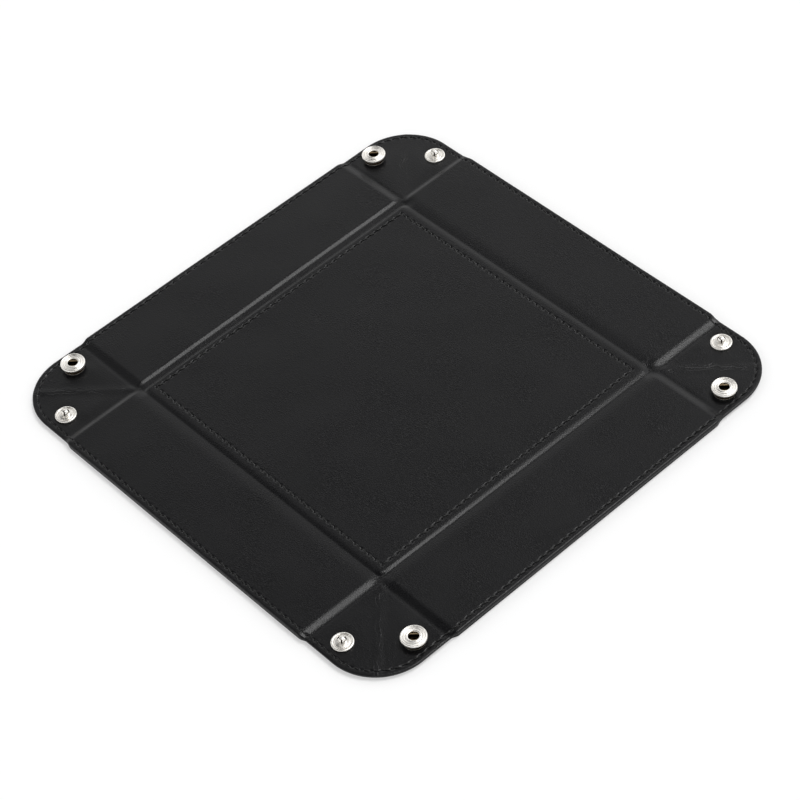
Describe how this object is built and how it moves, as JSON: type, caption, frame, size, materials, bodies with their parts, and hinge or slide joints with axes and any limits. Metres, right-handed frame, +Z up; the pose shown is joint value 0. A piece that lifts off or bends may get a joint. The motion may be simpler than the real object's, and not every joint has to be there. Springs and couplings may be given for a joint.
{
  "type": "valet tray",
  "caption": "Square snap-up valet tray in black lined leather, laid flat: stiff floor and walls, soft corners with ball snaps that pinch together to raise the walls.",
  "frame": {"origin": "middle of the underside, on the surface that the tray lies on", "axes": "+Z up out of the tray, +X to the right wall, +Y to the back wall"},
  "size_m": [0.25, 0.25, 0.0065],
  "materials": {
    "leather": "satin pebbled",
    "lining": "matte pebbled",
    "board": "matte",
    "thread": "satin",
    "nickel": "satin plated",
    "spring_wire": "satin"
  },
  "bodies": {
    "floor": {"floor_board": "board", "floor_top_skin": "leather", "floor_bottom_skin": "lining", "floor_seam": "thread"},
    "right_wall": {"right_wall_board": "board", "right_wall_top_skin": "leather", "right_wall_bottom_skin": "lining", "right_wall_seam": "thread"},
    "right_wall_front_ear": {"right_wall_front_ear": "leather", "right_wall_front_ear_seam": "thread", "front_right_socket": "nickel", "front_right_socket_springs": "spring_wire", "front_right_socket_cap": "nickel"},
    "right_wall_back_ear": {"right_wall_back_ear": "leather", "right_wall_back_ear_seam": "thread", "back_right_socket": "nickel", "back_right_socket_springs": "spring_wire", "back_right_socket_cap": "nickel"},
    "back_wall": {"back_wall_board": "board", "back_wall_top_skin": "leather", "back_wall_bottom_skin": "lining", "back_wall_seam": "thread"},
    "back_wall_right_ear": {"back_wall_right_ear": "leather", "back_wall_right_ear_seam": "thread", "back_right_stud": "nickel", "back_right_stud_cap": "nickel"},
    "back_wall_left_ear": {"back_wall_left_ear": "leather", "back_wall_left_ear_seam": "thread", "back_left_stud": "nickel", "back_left_stud_cap": "nickel"},
    "left_wall": {"left_wall_board": "board", "left_wall_top_skin": "leather", "left_wall_bottom_skin": "lining", "left_wall_seam": "thread"},
    "left_wall_back_ear": {"left_wall_back_ear": "leather", "left_wall_back_ear_seam": "thread", "back_left_socket": "nickel", "back_left_socket_springs": "spring_wire", "back_left_socket_cap": "nickel"},
    "left_wall_front_ear": {"left_wall_front_ear": "leather", "left_wall_front_ear_seam": "thread", "front_left_socket": "nickel", "front_left_socket_springs": "spring_wire", "front_left_socket_cap": "nickel"},
    "front_wall": {"front_wall_board": "board", "front_wall_top_skin": "leather", "front_wall_bottom_skin": "lining", "front_wall_seam": "thread"},
    "front_wall_left_ear": {"front_wall_left_ear": "leather", "front_wall_left_ear_seam": "thread", "front_left_stud": "nickel", "front_left_stud_cap": "nickel"},
    "front_wall_right_ear": {"front_wall_right_ear": "leather", "front_wall_right_ear_seam": "thread", "front_right_stud": "nickel", "front_right_stud_cap": "nickel"}
  },
  "joints": [
    {"name": "right_wall_fold", "type": "hinge", "parent": "floor", "child": "right_wall", "pos_m": [0.0805, 0, 0.0026], "axis": [0, -1, 0], "range_deg": [0, 75]},
    {"name": "right_wall_front_ear_fold", "type": "hinge", "parent": "right_wall", "child": "right_wall_front_ear", "pos_m": [0.10275, -0.0805, 0.0026], "axis": [1, 0, 0], "range_deg": [0, 35.25]},
    {"name": "right_wall_back_ear_fold", "type": "hinge", "parent": "right_wall", "child": "right_wall_back_ear", "pos_m": [0.10275, 0.0805, 0.0026], "axis": [-1, 0, 0], "range_deg": [0, 35.25]},
    {"name": "back_wall_fold", "type": "hinge", "parent": "floor", "child": "back_wall", "pos_m": [0, 0.0805, 0.0026], "axis": [1, 0, 0], "range_deg": [0, 75]},
    {"name": "back_wall_right_ear_fold", "type": "hinge", "parent": "back_wall", "child": "back_wall_right_ear", "pos_m": [0.0805, 0.10275, 0.0026], "axis": [0, 1, 0], "range_deg": [0, 35.25]},
    {"name": "back_wall_left_ear_fold", "type": "hinge", "parent": "back_wall", "child": "back_wall_left_ear", "pos_m": [-0.0805, 0.10275, 0.0026], "axis": [0, -1, 0], "range_deg": [0, 35.25]},
    {"name": "left_wall_fold", "type": "hinge", "parent": "floor", "child": "left_wall", "pos_m": [-0.0805, 0, 0.0026], "axis": [0, 1, 0], "range_deg": [0, 75]},
    {"name": "left_wall_back_ear_fold", "type": "hinge", "parent": "left_wall", "child": "left_wall_back_ear", "pos_m": [-0.10275, 0.0805, 0.0026], "axis": [-1, 0, 0], "range_deg": [0, 35.25]},
    {"name": "left_wall_front_ear_fold", "type": "hinge", "parent": "left_wall", "child": "left_wall_front_ear", "pos_m": [-0.10275, -0.0805, 0.0026], "axis": [1, 0, 0], "range_deg": [0, 35.25]},
    {"name": "front_wall_fold", "type": "hinge", "parent": "floor", "child": "front_wall", "pos_m": [0, -0.0805, 0.0026], "axis": [-1, 0, 0], "range_deg": [0, 75]},
    {"name": "front_wall_left_ear_fold", "type": "hinge", "parent": "front_wall", "child": "front_wall_left_ear", "pos_m": [-0.0805, -0.10275, 0.0026], "axis": [0, -1, 0], "range_deg": [0, 35.25]},
    {"name": "front_wall_right_ear_fold", "type": "hinge", "parent": "front_wall", "child": "front_wall_right_ear", "pos_m": [0.0805, -0.10275, 0.0026], "axis": [0, 1, 0], "range_deg": [0, 35.25]}
  ],
  "couplings": [
    {"joint": "right_wall_fold", "follows": "front_wall_fold", "ratio": 1},
    {"joint": "right_wall_front_ear_fold", "follows": "front_wall_fold", "ratio": 0.47},
    {"joint": "right_wall_back_ear_fold", "follows": "front_wall_fold", "ratio": 0.47},
    {"joint": "back_wall_fold", "follows": "front_wall_fold", "ratio": 1},
    {"joint": "back_wall_right_ear_fold", "follows": "front_wall_fold", "ratio": 0.47},
    {"joint": "back_wall_left_ear_fold", "follows": "front_wall_fold", "ratio": 0.47},
    {"joint": "left_wall_fold", "follows": "front_wall_fold", "ratio": 1},
    {"joint": "left_wall_back_ear_fold", "follows": "front_wall_fold", "ratio": 0.47},
    {"joint": "left_wall_front_ear_fold", "follows": "front_wall_fold", "ratio": 0.47},
    {"joint": "front_wall_left_ear_fold", "follows": "front_wall_fold", "ratio": 0.47},
    {"joint": "front_wall_right_ear_fold", "follows": "front_wall_fold", "ratio": 0.47}
  ]
}
